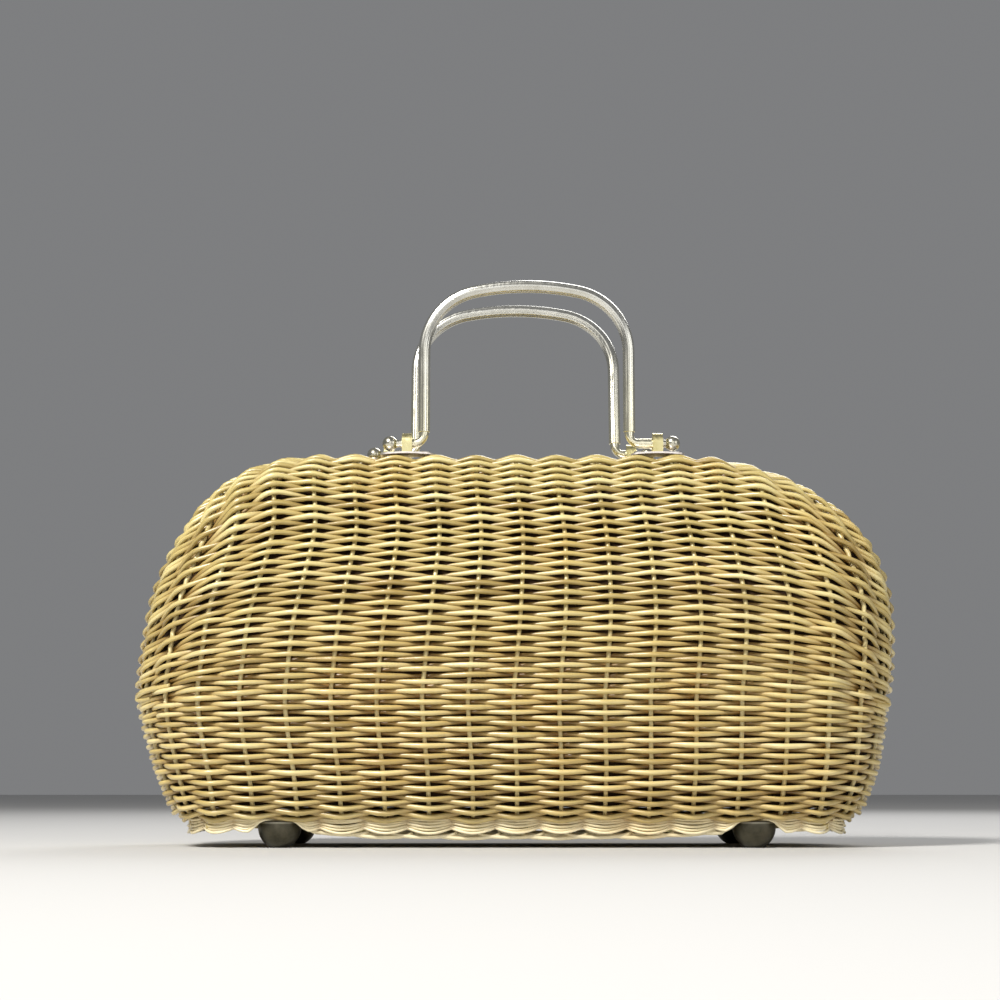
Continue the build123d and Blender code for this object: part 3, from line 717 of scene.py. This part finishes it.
def lining_half(name, half):
    """A cloth-covered liner: floor, walls and roof in one sheet with its seam edge open."""
    low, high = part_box(f"{name}_lining")
    edge = min(abs(low.y), abs(high.y))
    heights = np.linspace(low.z + LINING_THICKNESS, high.z - LINING_THICKNESS, 46)
    samples = np.linspace(-1, 1, 120)
    rows = []
    for z in heights:
        reach = half_way(z) - edge
        wall = place(samples * reach, np.full(samples.shape, z))
        a, b, _ = outline(z)
        lean = 1 + 0.45 * float(smooth(z, 0.12, 0.178))
        inset = LINING_INSET * lean
        wall[:, 0] *= (a - inset) / a
        wall[:, 1] = -edge + (wall[:, 1] + edge) * (b - inset - edge) / (b - edge)
        rows.append(wall)
    for level, steps, top in ((rows[0], 8, False), (rows[-1], 5, True)):
        sheet = []
        for k in range(1, steps + 1):
            ring = level.copy()
            ring[:, 1] = -edge + (level[:, 1] + edge) * (1 - k / steps)
            sheet.append(ring)
        rows = rows + sheet if top else sheet[::-1] + rows
    points = np.array(rows)
    n, m = points.shape[:2]
    ripple = 0.25 * MM * np.sin(np.arange(m) * 1.1)[None] * np.sin(np.linspace(0, 3, n))[:, None]
    inner = np.array([0, 0, (low.z + high.z) / 2])
    toward = inner - points
    toward /= np.linalg.norm(toward, axis=2, keepdims=True)
    points = points + toward * (ripple + 0.3 * MM)[..., None]
    if half > 0:
        points = points * (-1, -1, 1)
    points = settle(points)
    faces = [(i * m + j, i * m + j + 1, (i + 1) * m + j + 1, (i + 1) * m + j)
             for i in range(n - 1) for j in range(m - 1)]
    mesh = bpy.data.meshes.new(f"{name}_lining_cloth")
    mesh.from_pydata(points.reshape(-1, 3).tolist(), [], faces)
    piece = bpy.data.objects.new(mesh.name, mesh)
    bpy.context.scene.collection.objects.link(piece)
    bpy.ops.object.select_all(action="DESELECT")
    piece.select_set(True)
    bpy.context.view_layer.objects.active = piece
    bpy.ops.object.mode_set(mode="EDIT")
    bpy.ops.mesh.select_all(action="SELECT")
    bpy.ops.mesh.remove_doubles(threshold=1e-5)
    bpy.ops.object.mode_set(mode="OBJECT")
    solid = piece.modifiers.new("cloth", "SOLIDIFY")
    solid.thickness = LINING_THICKNESS
    solid.offset = 0
    bpy.ops.object.modifier_apply(modifier="cloth")
    bpy.ops.object.shade_smooth_by_angle(angle=math.radians(50))
    mesh = piece.data
    mesh.materials.append(lining)
    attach(piece, f"{name}_half")
    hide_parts(f"{name}_lining")


for name, half in HALVES.items():
    lining_half(name, half)

# ---------------------------------------------------------------- fluted tube handles

LEG = 48.5 * MM                        # middle of the handle to the middle of a leg
SPRING = 44.0 * MM                     # pivot to the start of the shoulder bend
NOTCH = 5.4 * MM                       # pivot to the foot of the full tube
ELBOW = 4.5 * MM                       # radius of the bend at each foot
TUBE_RADIUS = 2.8 * MM
TUBE_END_RADIUS = 2.45 * MM
NARROW_RADIUS = 2.35 * MM
SHOULDER, CROWN = 30 * MM, 120 * MM    # radii of the arch
CROWN_HALF = math.asin((LEG - SHOULDER) / (CROWN - SHOULDER))
FLUTES = 8


def walked(start, heading, legs):
    """Points and headings of a path of straight runs (length, 0) and bends (radius, angle)."""
    x, w = start
    points, angles = [(x, w)], [heading]
    for size, angle in legs:
        length = size if angle == 0 else size * abs(angle)
        steps = max(1, int(math.ceil(length / (1.2 * MM))))
        for _ in range(steps):
            middle = heading + angle / steps / 2
            chord = length / steps
            x, w = x + math.cos(middle) * chord, w + math.sin(middle) * chord
            heading += angle / steps
            points.append((x, w))
            angles.append(heading)
    return np.array(points), np.array(angles)


def tube(points, angles, in_plane, across, sides, flute=0.0):
    """Vertices and faces of a closed tube along a path in the plane of the handle."""
    n = len(points)
    turn = np.arange(sides) * 2 * math.pi / sides
    groove = 1 - flute * (0.5 - 0.5 * np.cos(FLUTES * turn)) ** 2
    out = np.stack([-np.sin(angles), np.cos(angles)], 1)
    reach = np.broadcast_to(in_plane, (n,))[:, None] * np.cos(turn)[None] * groove
    x = points[:, 0:1] + out[:, 0:1] * reach
    w = points[:, 1:2] + out[:, 1:2] * reach
    y = -np.broadcast_to(across, (n,))[:, None] * np.sin(turn)[None] * groove
    vertices = np.stack([x, y, w], -1).reshape(-1, 3)
    faces = []
    for i in range(n - 1):
        for j in range(sides):
            k = (j + 1) % sides
            faces.append((i * sides + j, (i + 1) * sides + j, (i + 1) * sides + k, i * sides + k))
    faces.append(tuple(range(sides)))
    faces.append(tuple((n - 1) * sides + j for j in reversed(range(sides))))
    return vertices, faces


def handle(name, middle, hinge_y, lean, stubs):
    """A fluted tube over both legs, with a narrower crushed tube bent outwards at each foot."""
    pivot = (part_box(f"{name}_ball_left")[0].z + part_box(f"{name}_ball_left")[1].z) / 2
    corner = math.pi / 2 - CROWN_HALF
    legs = [(SPRING - NOTCH, 0), (SHOULDER, -corner), (CROWN, -2 * CROWN_HALF), (SHOULDER, -corner),
            (SPRING - NOTCH, 0)]
    points, angles = walked((-LEG, NOTCH), math.pi / 2, legs)
    size = TUBE_RADIUS + 0.25 * MM * smooth(points[:, 1], SPRING, SPRING + 30 * MM)
    size[0] = size[-1] = TUBE_END_RADIUS
    edge = (0, 0.2 * MM)
    points = np.concatenate([points[:1], points[:1] + edge, points[1:-1], points[-1:] + edge, points[-1:]])
    angles = np.concatenate([angles[:1], angles[:1], angles[1:-1], angles[-1:], angles[-1:]])
    size = np.concatenate([size[:1], size[1:2], size[1:-1], size[1:2], size[-1:]])
    parts = [tube(points, angles, size, size, 64, 0.06)]
    for side, stub in zip((LEFT, RIGHT), stubs):
        reach = LEG + stub
        run = stub - ELBOW
        heading = 0.0 if side < 0 else math.pi
        bend = (ELBOW, math.pi / 2 if side < 0 else -math.pi / 2)
        path, turns = walked((side * reach, 0), heading, [(run, 0), bend, (NOTCH - ELBOW + 2 * MM, 0)])
        way = np.concatenate([[0], np.cumsum(np.hypot(*np.diff(path, axis=0).T))])
        pinch = np.exp(-(((way - run - 3.4 * MM) / (2.6 * MM)) ** 2))
        in_plane = NARROW_RADIUS * (1 - 0.2 * pinch)
        across = NARROW_RADIUS * (1 + 0.06 * pinch)
        parts.append(tube(path, turns, in_plane, across, 28))
    vertices, faces, count = [], [], 0
    for part_vertices, part_faces in parts:
        vertices.append(part_vertices)
        faces += [tuple(v + count for v in face) for face in part_faces]
        count += len(part_vertices)
    vertices = np.concatenate(vertices)
    up = vertices[:, 2].copy()
    vertices[:, 2] = pivot + up * math.cos(lean) - vertices[:, 1] * math.sin(lean)
    vertices[:, 1] = hinge_y + vertices[:, 1] * math.cos(lean) + up * math.sin(lean)
    vertices[:, 0] += middle
    mesh = bpy.data.meshes.new(f"{name}_fluted_handle")
    mesh.from_pydata(vertices.tolist(), [], faces)
    piece = bpy.data.objects.new(mesh.name, mesh)
    bpy.context.scene.collection.objects.link(piece)
    bpy.ops.object.select_all(action="DESELECT")
    piece.select_set(True)
    bpy.context.view_layer.objects.active = piece
    bpy.ops.object.shade_smooth_by_angle(angle=math.radians(40))
    mesh.materials.append(fluted_tube)
    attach(piece, f"{name}_handle_body")
    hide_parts(f"{name}_handle")


SHORT_END, LONG_END = 10.75 * MM, 16.05 * MM
HINGE_Y = 17 * MM                      # from the seam to each handle's hinge line
FRONT_MIDDLE = 5 * MM                  # the front handle sits a little to the right
REAR_LEAN = math.radians(10)
handle("front", FRONT_MIDDLE, -HINGE_Y, 0.0, (SHORT_END, LONG_END))
handle("rear", 0.0, HINGE_Y, REAR_LEAN, (LONG_END, SHORT_END))

# ---------------------------------------------------------------- finishes of the carried-over pieces


def finish_node(node, material):
    """Gives a carried-over piece its finish."""
    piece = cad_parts[node]
    for slot in piece.material_slots:
        slot.material = material


for name in HALVES:
    for side in ("left", "right"):
        finish_node(f"{name}_foot_{side}", dark_foot)
        finish_node(f"{name}_plate_{side}", pale_plate)
        finish_node(f"{name}_bracket_{side}", yellow_brass)
        finish_node(f"{name}_backing_{side}", plain_steel)
        finish_node(f"{name}_ball_{side}", champagne)
        finish_node(f"{side}_hinge_{name}_leaf", yellow_brass)
    finish_node(f"{name}_foot_washers", plain_steel)
    finish_node(f"{name}_foot_screws", plain_steel)
    finish_node(f"{name}_plate_rivets", plain_steel)
    finish_node(f"{name}_hinge_rivets", yellow_brass)
    finish_node(f"{name}_handle", fluted_tube)
finish_node("left_hinge_pin", plain_steel)
finish_node("right_hinge_pin", plain_steel)
finish_node("catch_stud", yellow_brass)
finish_node("catch_socket", yellow_brass)

# ---------------------------------------------------------------- floor, light and camera

bpy.ops.mesh.primitive_plane_add(size=30, location=(0, 0, 0))
floor = bpy.context.object
floor.name = "floor"
paint = Nodes("pale_floor")
paint.set(Base_Color=(0.60, 0.595, 0.585, 1), Roughness=0.8)
floor.data.materials.append(paint.material)


def soft_light(name, place_at, aim, size, power, colour=(1, 1, 1)):
    """A large square light aimed at a point."""
    bpy.ops.object.light_add(type="AREA", location=place_at)
    light = bpy.context.object
    light.name = name
    light.data.shape = "SQUARE"
    light.data.size = size
    light.data.energy = power
    light.data.color = colour
    light.rotation_euler = (Vector(aim) - Vector(place_at)).to_track_quat("-Z", "Y").to_euler()


soft_light("key", (-0.75, -1.15, 1.45), (0, 0, 0.1), 0.40, 45, (1.0, 0.98, 0.94))
soft_light("window", (0.15, -2.1, 0.75), (0, 0, 0.12), 1.3, 5.5)
soft_light("fill", (1.3, -1.0, 0.6), (0, 0, 0.1), 0.8, 3.5)
soft_light("back", (0.4, 1.2, 1.2), (0, 0, 0.15), 0.8, 10)

world = bpy.data.worlds.new("studio")
bpy.context.scene.world = world
world.use_nodes = True
world.node_tree.nodes["Background"].inputs["Color"].default_value = (0.80, 0.81, 0.83, 1)
world.node_tree.nodes["Background"].inputs["Strength"].default_value = 0.26
bpy.context.scene.view_settings.view_transform = "Standard"

LOOKING_UP = 7.87                      # degrees above level
bpy.ops.object.camera_add(location=(-7.6 * MM, -1.0, 0.025), rotation=(math.radians(90 + LOOKING_UP), 0, 0))
camera = bpy.context.object
camera.data.lens = 75.9
camera.data.sensor_width = 36
bpy.context.scene.camera = camera
